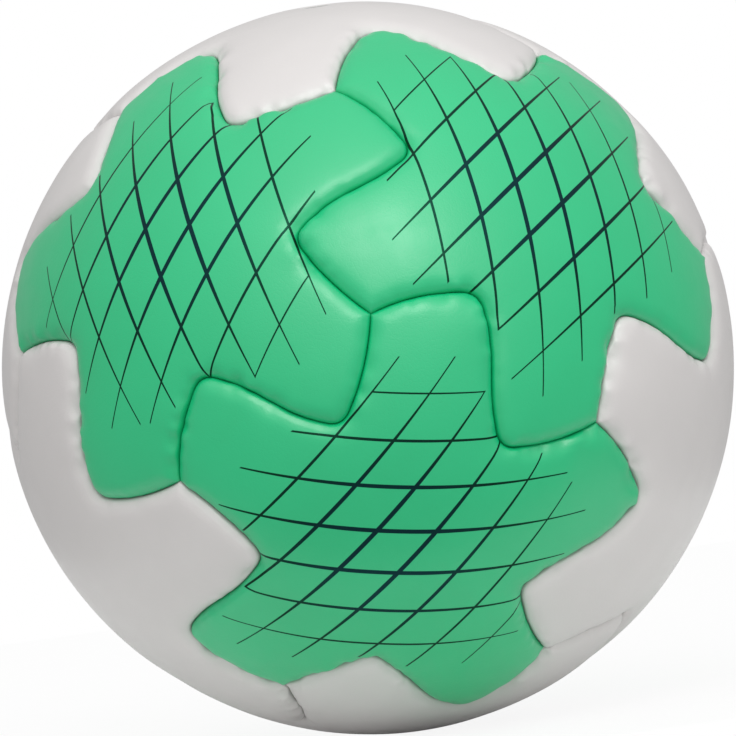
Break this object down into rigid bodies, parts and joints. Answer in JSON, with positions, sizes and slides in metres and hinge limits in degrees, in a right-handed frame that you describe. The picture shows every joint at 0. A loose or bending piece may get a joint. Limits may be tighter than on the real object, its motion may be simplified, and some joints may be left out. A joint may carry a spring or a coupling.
{
  "type": "handball",
  "caption": "Inflated sewn ball for hand play, with padded pinwheel panels that meet along Z-shaped seams, a lined rubber bladder and a needle valve.",
  "frame": {"origin": "middle of the ball", "axes": "+Z out through the valve along the needle bore, -Y out through a green panel of the lower ring, which is the side that the picture shows"},
  "size_m": [0.1876, 0.188, 0.1879],
  "materials": {
    "skin_green": "satin grained synthetic leather, mint green with a dark printed lattice",
    "skin_white": "satin grained synthetic leather, off-white",
    "foam": "open-cell foam",
    "lining": "woven cotton laminate",
    "thread": "waxed thread",
    "bladder_rubber": "smooth rubber",
    "valve_rubber": "smooth pale rubber",
    "valve_core_rubber": "soft rubber"
  },
  "bodies": {
    "root": {"cover_top": "skin_white", "cover_upper_1": "skin_white", "cover_upper_2": "skin_green", "cover_upper_3": "skin_white", "cover_upper_4": "skin_green", "cover_upper_5": "skin_green", "cover_lower_1": "skin_green", "cover_lower_2": "skin_white", "cover_lower_3": "skin_green", "cover_lower_4": "skin_green", "cover_lower_5": "skin_white", "cover_bottom": "skin_white", "foam_top": "foam", "foam_upper_1": "foam", "foam_upper_2": "foam", "foam_upper_3": "foam", "foam_upper_4": "foam", "foam_upper_5": "foam", "foam_lower_1": "foam", "foam_lower_2": "foam", "foam_lower_3": "foam", "foam_lower_4": "foam", "foam_lower_5": "foam", "foam_bottom": "foam", "lining_top": "lining", "lining_upper_1": "lining", "lining_upper_2": "lining", "lining_upper_3": "lining", "lining_upper_4": "lining", "lining_upper_5": "lining", "lining_lower_1": "lining", "lining_lower_2": "lining", "lining_lower_3": "lining", "lining_lower_4": "lining", "lining_lower_5": "lining", "lining_bottom": "lining", "seam_thread": "thread", "bladder": "bladder_rubber", "valve_housing": "valve_rubber", "valve_core": "valve_core_rubber"}
  },
  "joints": []
}
